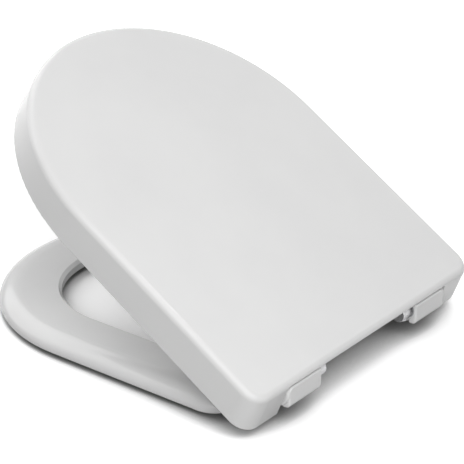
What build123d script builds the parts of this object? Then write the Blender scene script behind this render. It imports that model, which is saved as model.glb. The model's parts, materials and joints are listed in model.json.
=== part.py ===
"""D-shaped toilet seat with a wrap-over lid, a domed seat ring and damped take-off hinges.

Frame: X along the hinge axis, -Y to the front of the seat, +Z up. The origin lies midway between
the two stud bores, on the feet of the hinge posts. All sizes are millimetres.
"""
from build123d import *
import os
from math import atan2, cos, degrees, radians, sin

# Hinge line
hinge_height = 32.0        # hinge axis above the bowl's rim
stud_spacing = 155.0       # between the two bowl studs
stud_bore_radius = 4.1
stud_bore_depth = 11.5
post_radius = 8.5
post_foot_drop = 9.0       # face of the post's foot, below the hinge axis
post_foot_radius = 5.0
post_length = 15.9         # round part that shows beside the lug
post_beyond_stud = 5.9     # from the stud to the post's shoulder at the lug
post_edge_round = 0.8
screw_radius = 2.5         # M5 grub screw that locks the stud
screw_socket = 2.5         # across the flats of its hexagon socket
screw_socket_depth = 2.0
journal_radius = 6.0       # post's journal inside the ring's lug
journal_length = 8.0

# Fits
running_clearance = 0.06   # radial, turning fits
slip_clearance = 0.05      # radial, pieces pushed in without turning
axial_gap = 0.3            # between end faces that turn past each other
moving_gap = 0.3           # between shapes that pass each other

# Dampers in the lugs
cap_length = 4.0
cap_spigot_length = 1.5
housing_length = 32.5
housing_end_wall = 5.0
chamber_radius = 7.4
shaft_radius = 3.5
shaft_flat = 2.4           # flat of the shaft's D end, from the axis
shaft_key_length = 6.5
core_radius = 5.0
tail_radius = 2.5
tail_length = 3.0
vane_thickness = 2.5
chamber_rib_thickness = 3.0
chamber_rib_lead = 35.0    # degrees from the vane to the rib with the seat shut
seal_thickness = 1.6
root_overlap = 1.0         # how far keys and ribs run into the wall they grow from
housing_key_width = 4.0
housing_key_height = 1.6
housing_key_length = 24.0
drive_radius = 4.8         # spigot that turns the lid with its damper
drive_flats = 7.0          # across the spigot's two flats
pin_radius = 4.0           # lid pivot on the other side
pin_head_radius = 6.5
pin_head_length = 2.3
pivot_bush_radius = 5.6

# Lugs of the seat ring
lug_radius = 13.2
lug_bore_radius = 9.5
lug_end_wall = 4.7
lug_edge_round = 2.2
lug_pad_reach = 13.5       # flat rear pad, behind the hinge axis
lug_pad_depth = 8.0        # from its face towards the axis
lug_pad_below = 14.0       # lower edge of the pad, below the hinge axis
lug_pad_above = 8.4
lug_pad_overhang = 1.7     # past the lug's end, over the post
lug_pad_inset = 2.0        # short of the lug's outer end
lug_pad_foot_round = 5.5   # lower edge of the face
lug_pad_corner_round = 6.0   # upper outer corner of the face
lug_pad_edge_round = 2.0
lug_root_depth = 20.0      # how far the lug's arm runs into the ring
lug_root_height = 9.0      # underside of the arm at its root, above the rim

# Lid
lid_width = 375.0
lid_length = 442.0
lid_height = 40.5
lid_wall = 4.2
lid_top_wall = 4.5
lid_draft = 1.9            # inset of the top outline, sides and front
lid_rear_lean = 6.6        # inset of the top outline at the rear
lid_corner_round = 20.0
lid_edge_round = 7.3
lid_foot_round = 1.2
lid_overhang = 12.2        # rear wall's foot behind the hinge axis
lid_foot_drop = 19.4       # foot of the skirt below the hinge axis
lid_open_angle = 31.65     # degrees, pose of the lid at rest
cutout_gap = 0.7           # from a lug's end to the side of the lid's cut-out
cutout_round = 5.0         # small, so that the lugs' pads pass as the lid opens
ear_wall = 2.5             # round the bore of a lid ear
ear_bore_depth = 14.0
ear_end_wall = 2.0

# Seat ring
lid_front_gap = 1.6        # from the ring's front tip to the skirt of the shut lid
lid_side_gap = 11.0        # the same at the sides
ring_rear_setback = 38.0   # rear edge ahead of the hinge axis
ring_corner_round = 29.0
ring_underside = 6.0       # height above the rim
ring_lip = 3.0             # upright band at the outer edge
ring_crest = 21.0          # height above the rim
ring_crest_inset = 20.0
ring_crest_flat = 4.0
ring_inner_height = 17.0   # height of the inner edge above the rim
ring_inner_bevel = 3.0     # broken upper edge of the opening
ring_foot_round = 1.2
ring_wall = 5.5
ring_roof = 12.5           # top of the hollow underside, above the rim
rib_thickness = 3.0
rib_spaces = 6             # hollows round the front half
ring_side_band = 68.3      # from the outer edge to the opening
ring_front_band = 64.5
ring_rear_band = 50.0
opening_corner_round = 78.0

# Buffers
seat_buffer_length = 36.0
seat_buffer_width = 15.0
buffer_edge_round = 1.5
buffer_stem_radius = 3.0
buffer_stem_length = 5.5
buffer_boss_radius = 8.0
seat_buffer_inset = 34.0   # from the ring's outer edge
seat_buffer_rear_reach = 112.0
seat_buffer_front_angle = 52.0   # degrees from the side round to the front
lid_buffer_radius = 6.0
lid_buffer_height = 8.0
lid_buffer_inset = 24.0    # from the ring's outer edge
lid_buffer_rear_reach = 140.0
lid_buffer_front_angle = 62.0
lid_boss_radius = 7.5

# Heights and stations that follow
axis_z = post_foot_drop
rim_z = axis_z - hinge_height
hinge_axis = Axis((0, 0, axis_z), (1, 0, 0))
lid_foot_z = axis_z - lid_foot_drop
lid_top_z = lid_foot_z + lid_height
lid_ceiling_z = lid_top_z - lid_top_wall
ring_foot_z = rim_z + ring_underside
ring_crest_z = rim_z + ring_crest
ring_inner_z = rim_z + ring_inner_height
ring_half = lid_width / 2 - lid_wall - lid_side_gap
ring_front_reach = lid_length - lid_overhang - lid_wall - lid_front_gap
ring_centre_y = ring_half - ring_front_reach
opening_front_y = ring_front_band - ring_front_reach
opening_rear_y = -ring_rear_setback - ring_rear_band
lid_buffer_z = ring_crest_z + moving_gap

stud_x = stud_spacing / 2
post_outer_x = stud_x + post_beyond_stud
post_inner_x = post_outer_x - post_length
lug_inner_x = post_outer_x + axial_gap
journal_end_x = post_outer_x + journal_length
cap_x = journal_end_x + axial_gap
housing_x = cap_x + cap_length
housing_end_x = housing_x + housing_length
lug_floor_x = housing_end_x + axial_gap + pin_head_length
lug_outer_x = lug_floor_x + lug_end_wall
ear_x = lug_outer_x + axial_gap
ear_bore_end_x = ear_x + ear_bore_depth
ear_outer_x = ear_bore_end_x + ear_end_wall
cutout_half = lug_outer_x + cutout_gap
chamber_end_x = housing_end_x - housing_end_wall
housing_radius = lug_bore_radius - running_clearance
LEFT = 1
RIGHT = -1
SIDE_NAMES = {LEFT: "left", RIGHT: "right"}
DOME_ANGLES = (0, 22.5, 45, 67.5, 90)   # sections of the ring's quarter-ellipse dome
SADDLE_SHARES = (0, 0.35, 0.7, 1.1)     # sections of the slope, from the opening past the crest
SADDLE_BOW = 0.5                        # how far the slope bows from a straight line


def upright(radius, height):
    """Round bar standing on the origin."""
    return Cylinder(radius, height, align=(Align.CENTER, Align.CENTER, Align.MIN))


def along_hinge(side, start, end, radius):
    """Round bar about the hinge axis, between two distances from the middle on one side."""
    plane = Plane(origin=(side * start, 0, axis_z), x_dir=(0, 1, 0), z_dir=(side, 0, 0))
    return extrude(plane * Circle(radius), end - start)


def hinge_prism(side, start, end, outline):
    """Bar along the hinge with any outline, drawn as y to the rear and z up from the axis."""
    plane = Plane(origin=(side * start, 0, axis_z), x_dir=(0, side, 0), z_dir=(side, 0, 0))
    flat = outline if side == LEFT else outline.mirror(Plane.YZ)
    return extrude(plane * flat, end - start)


def hinge_block(side, start, end, rear, front, low, high):
    """Box along the hinge: rear and front are y, low and high are heights from the axis."""
    size = (end - start, rear - front, high - low)
    centre = (side * (start + end) / 2, (rear + front) / 2, axis_z + (low + high) / 2)
    return Pos(*centre) * Box(*size)


def radial_blade(side, start, end, inner, outer, thickness, angle):
    """Flat blade along the hinge that points away from the axis at an angle from the rear."""
    blade = hinge_block(side, start, end, outer, inner, -thickness / 2, thickness / 2)
    return blade.rotate(hinge_axis, angle)


def open_lid(shape):
    """Swing a piece of the closed lid to its pose at rest."""
    return shape.rotate(hinge_axis, -lid_open_angle)


def d_outline(half_width, front_y, rear_y, corner):
    """D-shaped face: half-round front, straight sides, rounded rear corners."""
    centre_y = front_y + half_width
    side_length = rear_y - centre_y
    front = Pos(0, centre_y) * Circle(half_width)
    back = Pos(0, centre_y + side_length / 2) * Rectangle(2 * half_width, side_length)
    face = front + back
    return fillet(face.vertices().group_by(Axis.Y)[-1], corner)


def between(first, second, share):
    """Outline sizes part of the way from one outline to another."""
    return [a + (b - a) * share for a, b in zip(first, second)]


def at_height(outline, height):
    return Pos(0, 0, height) * d_outline(*outline)


# Lid

def lid_form(inset, top_z, corner, edge):
    """Drafted D-shaped block with a leaning rear, set in evenly from the lid's outside."""
    half_width = lid_width / 2 - inset
    front_y = lid_overhang - lid_length + inset
    height = top_z - lid_foot_z
    lean = lid_rear_lean / lid_height * height
    draft = degrees(atan2(lid_draft, lid_height))
    spare = 4 * lid_wall
    centre_y = front_y + half_width
    rear_y = lid_overhang + spare
    front = Pos(0, centre_y) * Circle(half_width)
    back = Pos(0, (centre_y + rear_y) / 2) * Rectangle(2 * half_width, rear_y - centre_y)
    block = extrude(Pos(0, 0, lid_foot_z) * (front + back), height, taper=draft)
    foot_y = lid_overhang - inset
    behind = Polyline((foot_y, lid_foot_z), (foot_y - lean, top_z), (rear_y + spare, top_z),
                      (rear_y + spare, lid_foot_z), close=True)
    rear_cut = extrude(Plane.YZ * make_face(behind), lid_width, both=True)
    block -= rear_cut
    uprights = block.edges().filter_by(lambda e: abs(e.tangent_at(0.5).Z) > 0.9)
    block = fillet(uprights.sort_by(Axis.Y)[-2:], corner)
    return fillet(block.edges().group_by(Axis.Z)[-1], edge)


def lid_buffer_places():
    """Points over the ring's crest where the closed lid rests."""
    reach = ring_half - lid_buffer_inset
    turn = radians(lid_buffer_front_angle)
    front_y = ring_centre_y - reach * sin(turn)
    return {
        "rear": (reach, -lid_buffer_rear_reach),
        "front": (reach * cos(turn), front_y),
    }


def make_lid():
    inner_corner = lid_corner_round - lid_wall
    inner_edge = lid_edge_round - lid_wall
    shell = lid_form(0, lid_top_z, lid_corner_round, lid_edge_round)
    shell = fillet(shell.edges().group_by(Axis.Z)[0], lid_foot_round)
    shell -= lid_form(lid_wall, lid_ceiling_z, inner_corner, inner_edge)
    # Cut-out in the rear wall for the lugs and posts
    cut_height = lid_ceiling_z - lid_foot_z + cutout_round
    window = Pos(0, lid_ceiling_z - cut_height / 2) * Rectangle(2 * cutout_half, cut_height)
    window = fillet(window.vertices().group_by(Axis.Y)[-1], cutout_round)
    rear_y = lid_overhang - lid_rear_lean - lid_wall
    cut_plane = Plane(origin=(0, rear_y - lid_wall, 0), x_dir=(-1, 0, 0), z_dir=(0, 1, 0))
    shell -= extrude(cut_plane * window, lid_overhang + 2 * lid_wall - rear_y)
    # Ears that turn on the pivot pin and on the lid damper's spigot
    ear_radius = pivot_bush_radius + ear_wall
    ceiling = lid_ceiling_z - axis_z
    for side in (LEFT, RIGHT):
        shell += along_hinge(side, ear_x, ear_outer_x, ear_radius)
        shell += hinge_block(side, ear_x, ear_outer_x, 0, -ear_radius, 0, ceiling)
    shell -= along_hinge(RIGHT, ear_x, ear_bore_end_x, pivot_bush_radius)
    shell -= drive_spigot(slip_clearance, ear_x)
    # Bosses that carry the lid's buffers
    foot = lid_buffer_z + lid_buffer_height
    boss = upright(lid_boss_radius, lid_ceiling_z - foot)
    boss -= upright(buffer_stem_radius + slip_clearance, buffer_stem_length)
    for x, y in lid_buffer_places().values():
        for side in (LEFT, RIGHT):
            shell += Pos(side * x, y, foot) * boss
    return shell


def make_lid_buffer(x, y):
    pad = upright(lid_buffer_radius, lid_buffer_height)
    pad = fillet(pad.edges().group_by(Axis.Z)[0], buffer_edge_round)
    stem = Pos(0, 0, lid_buffer_height) * upright(buffer_stem_radius, buffer_stem_length)
    return Pos(x, y, lid_buffer_z) * (pad + stem)


# Seat ring

ring_outline = (ring_half, -ring_front_reach, -ring_rear_setback, ring_corner_round)
crest_outline = (ring_half - ring_crest_inset, ring_crest_inset - ring_front_reach,
                 -ring_rear_setback - ring_crest_inset, ring_corner_round - ring_crest_inset)
opening_outline = (ring_half - ring_side_band, opening_front_y, opening_rear_y, opening_corner_round)
saddle_inset = ring_crest_inset + ring_crest_flat
saddle_outline = (ring_half - saddle_inset, saddle_inset - ring_front_reach,
                  -ring_rear_setback - saddle_inset, opening_corner_round)


def domed_block():
    """Ring's outside: an upright lip, then a quarter ellipse up to the crest."""
    lip_top = ring_foot_z + ring_lip
    rise = ring_crest_z - lip_top
    block = extrude(at_height(ring_outline, ring_foot_z), ring_lip)
    block = fillet(block.edges().group_by(Axis.Z)[0], ring_foot_round)
    steps = [radians(angle) for angle in DOME_ANGLES]
    slices = [at_height(between(ring_outline, crest_outline, 1 - cos(a)), lip_top + rise * sin(a))
              for a in steps]
    return block + loft(slices)


def wider(outline, extra):
    """Outline set out evenly."""
    half_width, front_y, rear_y, corner = outline
    return half_width + extra, front_y - extra, rear_y + extra, corner + extra


def saddle_void():
    """Space over the ring's inner slope, which steepens from the crest to the opening."""
    drop = ring_crest_z - ring_inner_z
    slices = []
    for share in SADDLE_SHARES:
        left = 1 - share
        height = ring_crest_z - drop * left * (1 + SADDLE_BOW * left) / (1 + SADDLE_BOW)
        slices.append(at_height(between(opening_outline, saddle_outline, share), height))
    return loft(slices)


def opening_bevel():
    """Cone that breaks the opening's upper edge."""
    foot = at_height(opening_outline, ring_inner_z - ring_inner_bevel)
    head = at_height(wider(opening_outline, 2 * ring_inner_bevel), ring_inner_z + ring_inner_bevel)
    return loft([foot, head])


def opening_foot_edges(ring):
    """Lower edges of the opening."""
    front_y = opening_front_y - ring_wall
    rear_y = opening_rear_y + ring_wall
    found = []
    for edge in ring.edges().group_by(Axis.Z)[0]:
        box = edge.bounding_box()
        if box.min.Y > front_y and box.max.Y < rear_y:
            found.append(edge)
    return found


def seat_buffer_places():
    """Place and turn of each seat buffer on the left half of the ring."""
    reach = ring_half - seat_buffer_inset
    turn = radians(seat_buffer_front_angle)
    return {
        "rear": (reach, -seat_buffer_rear_reach, 90),
        "front": (reach * cos(turn), ring_centre_y - reach * sin(turn), 90 - seat_buffer_front_angle),
    }


def lug_outline():
    """Side view of a lug: round eye and an arm into the ring."""
    root_y = -ring_rear_setback - lug_root_depth
    low = lug_root_height + rim_z - axis_z
    high = ring_crest_z - axis_z - moving_gap
    arm = Pos(root_y + lug_root_depth / 2, (low + high) / 2) * Rectangle(lug_root_depth, high - low)
    return make_hull((Circle(lug_radius) + arm).edges())


def make_lug_pad(side):
    """Flat pad at the rear of a lug, with a rounded foot and outer corner."""
    start = lug_inner_x - lug_pad_overhang
    end = lug_outer_x - lug_pad_inset
    front = lug_pad_reach - lug_pad_depth
    height = lug_pad_above + lug_pad_below
    middle = (lug_pad_above - lug_pad_below) / 2
    outline = Pos(lug_pad_reach - lug_pad_depth / 2, middle) * Rectangle(lug_pad_depth, height)
    outline = fillet(outline.vertices().sort_by(Axis.X)[-2:].sort_by(Axis.Y)[0], lug_pad_foot_round)
    pad = hinge_prism(side, start, end, outline)
    # Upper corners of the face
    towards_end = Axis((0, 0, 0), (side, 0, 0))
    corners = pad.edges().filter_by(Axis.Y).group_by(Axis.Z)[-1].sort_by(towards_end)
    pad = fillet(corners[-1], lug_pad_corner_round)
    corners = pad.edges().filter_by(Axis.Y).group_by(Axis.Z)[-1].sort_by(towards_end)
    pad = fillet(corners[0], lug_pad_edge_round)
    # Edge round the face
    face = pad.faces().sort_by(Axis.Y)[-1]
    rim = face.edges().sort_by(Axis.Z)[1:]
    pad = fillet(rim, lug_pad_edge_round)
    # Room for the post beside the lug
    sweep = (post_foot_radius ** 2 + post_foot_drop ** 2) ** 0.5 + moving_gap
    return pad - along_hinge(side, start - root_overlap, lug_inner_x + lug_pad_inset, sweep)


def make_seat_ring():
    ring = domed_block()
    ring -= saddle_void()
    ring -= extrude(at_height(opening_outline, ring_foot_z), ring_crest_z - ring_foot_z)
    ring = fillet(opening_foot_edges(ring), ring_foot_round)
    ring -= opening_bevel()
    # Hollow underside, crossed by ribs and buffer bosses
    hollow_height = ring_roof - ring_underside
    inside = between(ring_outline, crest_outline, ring_wall / ring_crest_inset)
    around = wider(opening_outline, ring_wall)
    hollow = extrude(at_height(inside, ring_foot_z), hollow_height)
    hollow -= extrude(at_height(around, ring_foot_z), hollow_height)
    middle_z = ring_foot_z + hollow_height / 2
    spoke = Pos(ring_half / 2, 0, 0) * Box(ring_half, rib_thickness, hollow_height)
    for step in range(rib_spaces + 1):
        hollow -= Pos(0, ring_centre_y, middle_z) * Rot(0, 0, -180 * step / rib_spaces) * spoke
    boss = upright(buffer_boss_radius, hollow_height)
    stem_hole = upright(buffer_stem_radius + slip_clearance, buffer_stem_length)
    places = [Pos(side * x, y, ring_foot_z) for side in SIDE_NAMES
              for x, y, _ in seat_buffer_places().values()]
    for place in places:
        hollow -= place * boss
    ring -= hollow
    for place in places:
        ring -= place * stem_hole
    # Lugs round the hinge axis
    for side in (LEFT, RIGHT):
        lug = hinge_prism(side, lug_inner_x, lug_outer_x, lug_outline())
        ends = lug.faces().sort_by(Axis.X)
        rear_edges = [e for e in (ends[0].edges() + ends[-1].edges()) if e.center().Y > -lug_radius]
        lug = fillet(rear_edges, lug_edge_round)
        lug += make_lug_pad(side)
        ring += lug
        ring -= along_hinge(side, lug_inner_x, lug_floor_x, lug_bore_radius)
    ring -= along_hinge(LEFT, lug_floor_x, lug_outer_x, drive_radius + running_clearance)
    ring -= along_hinge(RIGHT, lug_floor_x, lug_outer_x, pin_radius + slip_clearance)
    ring -= housing_key(slip_clearance, lug_inner_x)
    return ring


def make_seat_buffer(x, y, turn):
    outline = SlotOverall(seat_buffer_length, seat_buffer_width)
    pad = extrude(outline, ring_underside)
    pad = fillet(pad.edges().group_by(Axis.Z)[0], buffer_edge_round)
    stem = Pos(0, 0, ring_underside) * upright(buffer_stem_radius, buffer_stem_length)
    return Pos(x, y, rim_z) * Rot(0, 0, turn) * (pad + stem)


# Hinge pieces

def d_profile(clearance):
    """Shaft end with one flat, so that the post holds the damper's rotor still."""
    radius = shaft_radius + clearance
    flat = shaft_flat + clearance
    return Circle(radius) & (Pos(0, flat - radius) * Rectangle(2 * radius, 2 * radius))


def make_hinge_post(side):
    post = along_hinge(side, post_inner_x, post_outer_x, post_radius)
    post = fillet(post.edges().filter_by(GeomType.CIRCLE), post_edge_round)
    post += along_hinge(side, post_outer_x - post_edge_round, journal_end_x, journal_radius)
    post += Pos(side * stud_x, 0, 0) * upright(post_foot_radius, post_foot_drop)
    post -= Pos(side * stud_x, 0, 0) * upright(stud_bore_radius, stud_bore_depth)
    post -= along_hinge(side, post_inner_x, stud_x, screw_radius + slip_clearance)
    socket_start = journal_end_x - shaft_key_length - axial_gap
    post -= hinge_prism(side, socket_start, journal_end_x, d_profile(slip_clearance))
    return post


def make_grub_screw(side):
    screw_end = stud_x - stud_bore_radius
    screw = along_hinge(side, post_inner_x, screw_end, screw_radius)
    socket = RegularPolygon(screw_socket / 2, 6, major_radius=False)
    return screw - hinge_prism(side, post_inner_x, post_inner_x + screw_socket_depth, socket)


def make_hinge_bush(side):
    bush = along_hinge(side, lug_inner_x, journal_end_x, lug_bore_radius)
    return bush - along_hinge(side, lug_inner_x, journal_end_x, journal_radius + running_clearance)


def make_damper_rotor(side):
    rotor = hinge_prism(side, journal_end_x - shaft_key_length, journal_end_x, d_profile(0))
    core_start = housing_x + cap_spigot_length + axial_gap
    core_end = chamber_end_x - axial_gap
    rotor += along_hinge(side, journal_end_x, core_start, shaft_radius)
    vane_tip = chamber_radius - moving_gap
    vane = Pos(0, vane_tip / 2) * Rectangle(vane_thickness, vane_tip)
    rotor += hinge_prism(side, core_start, core_end, Circle(core_radius) + vane)
    return rotor + along_hinge(side, core_end, chamber_end_x + tail_length, tail_radius)


def make_damper_cap(side):
    cap = along_hinge(side, cap_x, housing_x, housing_radius)
    cap += along_hinge(side, housing_x, housing_x + cap_spigot_length, chamber_radius - slip_clearance)
    cap -= along_hinge(side, cap_x, housing_x + cap_spigot_length, shaft_radius + running_clearance)
    seal_seat = shaft_radius + slip_clearance + seal_thickness
    seat_end = housing_x + cap_spigot_length
    return cap - along_hinge(side, seat_end - seal_thickness, seat_end, seal_seat)


def make_damper_seal(side):
    middle = shaft_radius + slip_clearance + seal_thickness / 2
    seal_x = housing_x + cap_spigot_length - seal_thickness / 2
    plane = Plane(origin=(side * seal_x, 0, axis_z), x_dir=(0, 1, 0), z_dir=(side, 0, 0))
    return plane * Torus(middle, seal_thickness / 2)


def housing_key(clearance, start):
    """Key on the ring damper's housing and, with a clearance, its slot in the lug."""
    rise = lug_bore_radius + housing_key_height + clearance
    half = housing_key_width / 2 + clearance
    end = housing_x + housing_key_length + clearance
    return hinge_block(RIGHT, start, end, root_overlap - lug_bore_radius, -rise, -half, half)


def drive_spigot(clearance, start):
    """Two-flat end of the lid damper's housing, or its socket in the lid."""
    radius = drive_radius + clearance
    half = drive_flats / 2 + clearance
    profile = Circle(radius) & Rectangle(2 * radius, 2 * half)
    return hinge_prism(LEFT, start, ear_bore_end_x + clearance - slip_clearance, profile)


def make_damper_housing(side):
    housing = along_hinge(side, housing_x, housing_end_x, housing_radius)
    if side == LEFT:
        housing += along_hinge(side, housing_end_x, ear_x, drive_radius)
        housing += drive_spigot(0, ear_x)
    else:
        housing += housing_key(0, housing_x)
    housing -= along_hinge(side, housing_x, chamber_end_x, chamber_radius)
    tail_bore = tail_radius + running_clearance
    housing -= along_hinge(side, chamber_end_x, chamber_end_x + tail_length + axial_gap, tail_bore)
    rib_start = housing_x + cap_spigot_length + axial_gap
    rib_foot = core_radius + moving_gap
    rib_root = chamber_radius + root_overlap
    rib = radial_blade(side, rib_start, chamber_end_x, rib_foot, rib_root,
                       chamber_rib_thickness, 90 - chamber_rib_lead)
    return housing + rib


def make_pivot_pin():
    head_start = lug_floor_x - pin_head_length
    pin = along_hinge(RIGHT, head_start, lug_floor_x, pin_head_radius)
    return pin + along_hinge(RIGHT, lug_floor_x, ear_bore_end_x - axial_gap, pin_radius)


def make_pivot_bush():
    bush = along_hinge(RIGHT, ear_x, ear_bore_end_x, pivot_bush_radius)
    return bush - along_hinge(RIGHT, ear_x, ear_bore_end_x, pin_radius + running_clearance)


# All pieces at rest, by node name

def make_pieces():
    pieces = {"seat_ring": make_seat_ring(), "lid": open_lid(make_lid())}
    for side, name in SIDE_NAMES.items():
        pieces["hinge_post_" + name] = make_hinge_post(side)
        pieces["grub_screw_" + name] = make_grub_screw(side)
        pieces["hinge_bush_" + name] = make_hinge_bush(side)
        pieces["damper_rotor_" + name] = make_damper_rotor(side)
        damper = {"housing": make_damper_housing, "cap": make_damper_cap, "seal": make_damper_seal}
        for piece, make in damper.items():
            shape = make(side)
            pieces["damper_" + piece + "_" + name] = open_lid(shape) if side == LEFT else shape
        for end, (x, y, turn) in seat_buffer_places().items():
            pieces["seat_buffer_" + end + "_" + name] = make_seat_buffer(side * x, y, side * turn)
        for end, (x, y) in lid_buffer_places().items():
            pieces["lid_buffer_" + end + "_" + name] = open_lid(make_lid_buffer(side * x, y))
    pieces["lid_pivot_pin"] = make_pivot_pin()
    pieces["lid_pivot_bush"] = open_lid(make_pivot_bush())
    return pieces


os.makedirs("parts", exist_ok=True)
for node, shape in make_pieces().items():
    export_step(shape, os.path.join("parts", node + ".step"))
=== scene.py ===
import json
import math

import bpy
from mathutils import Matrix, Vector


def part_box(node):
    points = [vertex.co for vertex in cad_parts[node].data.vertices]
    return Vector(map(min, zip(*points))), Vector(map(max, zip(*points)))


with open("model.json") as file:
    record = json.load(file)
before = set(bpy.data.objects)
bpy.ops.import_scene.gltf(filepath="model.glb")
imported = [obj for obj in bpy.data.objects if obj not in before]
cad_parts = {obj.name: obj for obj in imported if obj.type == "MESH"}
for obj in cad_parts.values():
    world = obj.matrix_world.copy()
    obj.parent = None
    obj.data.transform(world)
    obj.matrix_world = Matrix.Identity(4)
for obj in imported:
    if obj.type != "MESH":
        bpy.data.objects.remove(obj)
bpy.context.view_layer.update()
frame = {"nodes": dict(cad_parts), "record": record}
nodes = frame["nodes"]

# Places and sizes, in metres
FLOOR_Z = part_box("seat_buffer_rear_left")[0].z   # the ring stands on its buffers
FLOOR_REACH = 6.0   # from the origin to each side
CONTACT_REACH = 0.11   # how near a piece darkens the floor
COVER_REACH = 0.5   # how near a piece overhead keeps the floor from looking white
FADE_REACH = (0.6, 2.6)   # distances from the origin between which the lamps' light dies away
GRAIN_DEPTH = 0.0002   # of the materials' fine bump
SEAT_MIDDLE = Vector((0, -0.15, 0))
LAMP_REACH = 2.2   # from the middle of the seat
LAMP_SIZE = 2.6
GLINT_SIZE = 0.3

# White, and the floor's tones as shares of it
WHITE = (1, 1, 1, 1)
FLOOR_WHITE = 0.98   # colour of the floor for the eye
FLOOR_BOUNCE = 0.36   # colour of the floor for the light that it throws back on the seat
PAINTED_SHADOW_TONE = 0.35   # of the floor's colour, close under a piece, where the floor's colour is darkened as a painted contact shadow
FLOOR_LIFT = 0.3   # white given off round the seat, beyond its shadow
FAR_LIFT = 0.7   # white given off where the lamps no longer reach

# Shares of open sky above a spot of the floor, between which each effect fades
PAINTED_SHADOW_SKY = (0.1, 0.62)   # the painted contact shadow in the floor's colour, going out
LIFT_SKY = (0.4, 0.7)   # the white given off, coming in beyond the contact shadow
COVER_SKY = (0.3, 0.6)   # the white given off, coming in beyond the pieces overhead
SKY_RAYS = 16   # sent up from a spot to find its share

# Noise of the materials
EVEN = (1, 1, 1)   # stretch of a noise that has the same scale along X, Y and Z
TONE_BAND = (0.35, 0.65)   # part of the noise over which the colour changes
ROUGH_BAND = (0.3, 0.7)   # part of the noise over which the roughness changes
ROUGH_FINENESS = 4   # how much finer the roughness is mottled than the colour
TONE_DETAIL = 3
ROUGH_DETAIL = 4
GRAIN_DETAIL = 2

# Each slot's darker and lighter colour, noise scales of its patches and grain, range of roughness and bump
SURFACES = {
    "white_plastic": dict(dark=(0.705, 0.705, 0.705), light=(0.728, 0.728, 0.726), patch=9,
                          rough=(0.12, 0.17), grain=220, bump=0.02, specular=0.28),
    "buffer_rubber": dict(dark=(0.50, 0.51, 0.52), light=(0.58, 0.59, 0.60), patch=60,
                          rough=(0.62, 0.8), grain=1500, bump=0.2),
    "hinge_metal": dict(dark=(0.45, 0.45, 0.46), light=(0.53, 0.53, 0.54), patch=50,
                        rough=(0.24, 0.36), grain=700, bump=0.1, stretch=(1, 8, 8), metallic=1.0),
    "steel": dict(dark=(0.34, 0.34, 0.35), light=(0.46, 0.46, 0.47), patch=80,
                  rough=(0.3, 0.45), grain=900, bump=0.15, metallic=1.0),
    "grey_plastic": dict(dark=(0.40, 0.41, 0.42), light=(0.47, 0.48, 0.49), patch=70,
                         rough=(0.42, 0.55), grain=1200, bump=0.12),
    "damper_plastic": dict(dark=(0.09, 0.09, 0.10), light=(0.14, 0.14, 0.15), patch=70,
                           rough=(0.4, 0.55), grain=1200, bump=0.12),
    "seal_rubber": dict(dark=(0.02, 0.02, 0.02), light=(0.045, 0.045, 0.045), patch=90,
                        rough=(0.55, 0.75), grain=1600, bump=0.2),
}

# Each lamp's direction from the middle of the seat, power in watts and size
LAMPS = {
    "front": ((0, -0.77, 0.64), 31, LAMP_SIZE),
    "front_right": ((-0.6, -0.6, 0.53), 3, LAMP_SIZE),
    "right_side": ((-0.77, 0, 0.64), 10.5, LAMP_SIZE),
    "rear_corner": ((0.55, 0.55, 0.63), 51, LAMP_SIZE),
    "rear_low": ((0.1, 0.95, 0.3), 3.5, LAMP_SIZE),
    "edge_glint": ((-0.2, 0.28, 0.94), 3, GLINT_SIZE),
}

# Camera fitted to the photo
CAMERA_EYE = (1.37158, 0.90993, 0.8767)
CAMERA_AZIMUTH = 127.919   # degrees from the front of the seat towards +X
CAMERA_ELEVATION = 24.607   # degrees above the level
CAMERA_LENS = 146.326   # mm
SENSOR_WIDTH = 36   # mm
CAMERA_CLIP = 50   # metres
UPRIGHT = Vector((0, 0, 1))


# Shader nodes

def new_material(name):
    """Material with its tree of nodes and the shader in it."""
    material = bpy.data.materials.new(name)
    material.use_nodes = True
    tree = material.node_tree
    return material, tree, tree.nodes["Principled BSDF"]


def noise(tree, coords, scale, detail, stretch=EVEN):
    """Noise in the piece's own coordinates."""
    mapping = tree.nodes.new("ShaderNodeMapping")
    mapping.inputs["Scale"].default_value = stretch
    tree.links.new(coords, mapping.inputs["Vector"])
    texture = tree.nodes.new("ShaderNodeTexNoise")
    texture.inputs["Scale"].default_value = scale
    texture.inputs["Detail"].default_value = detail
    tree.links.new(mapping.outputs["Vector"], texture.inputs["Vector"])
    return texture.outputs["Fac"]


def ramp(tree, source, dark, light):
    """Colours from dark to light over the middle of a noise."""
    node = tree.nodes.new("ShaderNodeValToRGB")
    for element, position, colour in zip(node.color_ramp.elements, TONE_BAND, (dark, light)):
        element.position = position
        element.color = (*colour, 1)
    tree.links.new(source, node.inputs["Fac"])
    return node.outputs["Color"]


def remap(tree, source, band, low, high, way="LINEAR"):
    """Value that goes from low to high as the source goes through the band, and stays there beyond it."""
    node = tree.nodes.new("ShaderNodeMapRange")
    node.interpolation_type = way
    start, end = band
    node.inputs["From Min"].default_value = start
    node.inputs["From Max"].default_value = end
    node.inputs["To Min"].default_value = low
    node.inputs["To Max"].default_value = high
    tree.links.new(source, node.inputs["Value"])
    return node.outputs["Result"]


def rise(tree, source, band, low=0.0):
    """Smooth rise from low to 1 as the source goes through the band."""
    return remap(tree, source, band, low, 1.0, way="SMOOTHSTEP")


def combine(tree, operation, first, second):
    """Math operation on a node's output and either another output or a constant."""
    node = tree.nodes.new("ShaderNodeMath")
    node.operation = operation
    tree.links.new(first, node.inputs[0])
    if isinstance(second, float):
        node.inputs[1].default_value = second
    else:
        tree.links.new(second, node.inputs[1])
    return node.outputs[0]


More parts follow.
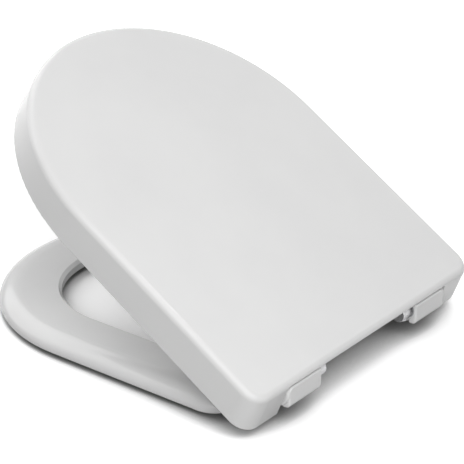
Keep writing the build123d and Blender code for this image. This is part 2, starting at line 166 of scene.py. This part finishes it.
def shown_to_eye(tree, shown, other):
    """The shown value for rays seen straight, through glass or in a gloss, and the other for all the rest."""
    path = tree.nodes.new("ShaderNodeLightPath")
    source = path.outputs["Is Camera Ray"]
    for ray in ("Is Glossy Ray", "Is Transmission Ray"):
        source = combine(tree, "MAXIMUM", source, path.outputs[ray])
    return remap(tree, source, (0.0, 1.0), other, shown)


# Materials of the pieces

def surface(name, dark, light, patch, rough, grain, bump, stretch=EVEN, metallic=0.0, specular=0.5):
    """Mottled surface: colour, roughness and a fine bump each follow a noise of their own."""
    material, tree, shader = new_material(name)
    coords = tree.nodes.new("ShaderNodeTexCoord").outputs["Object"]
    tone = ramp(tree, noise(tree, coords, patch, TONE_DETAIL), dark, light)
    tree.links.new(tone, shader.inputs["Base Color"])
    mottle = noise(tree, coords, patch * ROUGH_FINENESS, ROUGH_DETAIL, stretch)
    tree.links.new(remap(tree, mottle, ROUGH_BAND, *rough), shader.inputs["Roughness"])
    relief = tree.nodes.new("ShaderNodeBump")
    relief.inputs["Strength"].default_value = bump
    relief.inputs["Distance"].default_value = GRAIN_DEPTH
    tree.links.new(noise(tree, coords, grain, GRAIN_DETAIL, stretch), relief.inputs["Height"])
    tree.links.new(relief.outputs["Normal"], shader.inputs["Normal"])
    shader.inputs["Metallic"].default_value = metallic
    shader.inputs["Specular IOR Level"].default_value = specular
    return material


materials = {slot: surface(slot, **look) for slot, look in SURFACES.items()}
for entry in frame["record"]["subparts"]:
    mesh = nodes[entry["node"]].data
    mesh.materials.clear()
    mesh.materials.append(materials[entry["material_slot"]])


# Floor, light and camera

def open_sky(tree, reach):
    """Share of the space within reach above the floor that no piece hides, 0 to 1."""
    node = tree.nodes.new("ShaderNodeAmbientOcclusion")
    node.samples = SKY_RAYS
    node.inputs["Distance"].default_value = reach
    return node.outputs["AO"]


def far_off(tree):
    """0 round the seat, 1 where the lamps' light has died away."""
    coords = tree.nodes.new("ShaderNodeTexCoord").outputs["Object"]
    length = tree.nodes.new("ShaderNodeVectorMath")
    length.operation = "LENGTH"
    tree.links.new(coords, length.inputs[0])
    return rise(tree, length.outputs["Value"], FADE_REACH)


def floor_material():
    """Matt white whose colour is darkened close to a piece as a painted contact shadow and which, for the
    eye, gives off white beyond the shadow.
    """
    material, tree, shader = new_material("floor")
    shader.inputs["Roughness"].default_value = 1.0
    shader.inputs["Specular IOR Level"].default_value = 0.0
    shader.inputs["Emission Color"].default_value = WHITE

    near_sky = open_sky(tree, CONTACT_REACH)
    plain = shown_to_eye(tree, shown=FLOOR_WHITE, other=FLOOR_BOUNCE)
    # Painted contact shadow: the floor's colour is darkened where pieces hide the sky close above it
    painted_shadow = rise(tree, near_sky, PAINTED_SHADOW_SKY, PAINTED_SHADOW_TONE)
    tree.links.new(combine(tree, "MULTIPLY", plain, painted_shadow), shader.inputs["Base Color"])

    beyond_contact = rise(tree, near_sky, LIFT_SKY)
    beyond_cover = rise(tree, open_sky(tree, COVER_REACH), COVER_SKY)
    beyond_shadow = combine(tree, "MULTIPLY", beyond_contact, beyond_cover)
    near_lift = combine(tree, "MULTIPLY", beyond_shadow, FLOOR_LIFT)
    far_lift = combine(tree, "MULTIPLY", far_off(tree), FAR_LIFT)
    lift = combine(tree, "ADD", near_lift, far_lift)
    seen_lift = combine(tree, "MULTIPLY", lift, shown_to_eye(tree, shown=1.0, other=0.0))
    tree.links.new(seen_lift, shader.inputs["Emission Strength"])
    return material


def add_floor():
    """Flat square under the seat's buffers."""
    mesh = bpy.data.meshes.new("floor")
    signs = ((-1, -1), (1, -1), (1, 1), (-1, 1))
    corners = [(x * FLOOR_REACH, y * FLOOR_REACH, FLOOR_Z) for x, y in signs]
    mesh.from_pydata(corners, [], [(0, 1, 2, 3)])
    mesh.materials.append(floor_material())
    floor = bpy.data.objects.new("floor", mesh)
    bpy.context.scene.collection.objects.link(floor)


def add_world():
    """White all round for the eye and for reflections, which throws no other light on the seat."""
    world = bpy.data.worlds.new("studio")
    bpy.context.scene.world = world
    world.use_nodes = True
    tree = world.node_tree
    background = tree.nodes["Background"]
    background.inputs["Color"].default_value = WHITE
    tree.links.new(shown_to_eye(tree, shown=1.0, other=0.0), background.inputs["Strength"])


def add_lamp(name, direction, power, size):
    """Round soft lamp that faces the seat from this direction."""
    data = bpy.data.lights.new(name, "AREA")
    data.shape = "DISK"
    data.size = size
    data.energy = power
    lamp = bpy.data.objects.new(name, data)
    towards = Vector(direction).normalized()
    lamp.location = SEAT_MIDDLE + LAMP_REACH * towards
    lamp.rotation_euler = (-towards).to_track_quat("-Z", "Y").to_euler()
    bpy.context.scene.collection.objects.link(lamp)


def add_camera():
    """Camera without roll, turned by its azimuth and elevation."""
    turn = math.radians(CAMERA_AZIMUTH)
    tilt = math.radians(CAMERA_ELEVATION)
    back = Vector((math.sin(turn) * math.cos(tilt), -math.cos(turn) * math.cos(tilt), math.sin(tilt)))
    right = UPRIGHT.cross(back).normalized()
    up = back.cross(right)
    data = bpy.data.cameras.new("camera")
    data.lens = CAMERA_LENS
    data.sensor_width = SENSOR_WIDTH
    data.clip_end = CAMERA_CLIP
    camera = bpy.data.objects.new("camera", data)
    camera.matrix_world = Matrix.Translation(CAMERA_EYE) @ Matrix((right, up, back)).transposed().to_4x4()
    bpy.context.scene.collection.objects.link(camera)
    bpy.context.scene.camera = camera


add_floor()
add_world()
for name, (direction, power, size) in LAMPS.items():
    add_lamp(name, direction, power, size)
add_camera()
bpy.context.scene.view_settings.view_transform = "Standard"
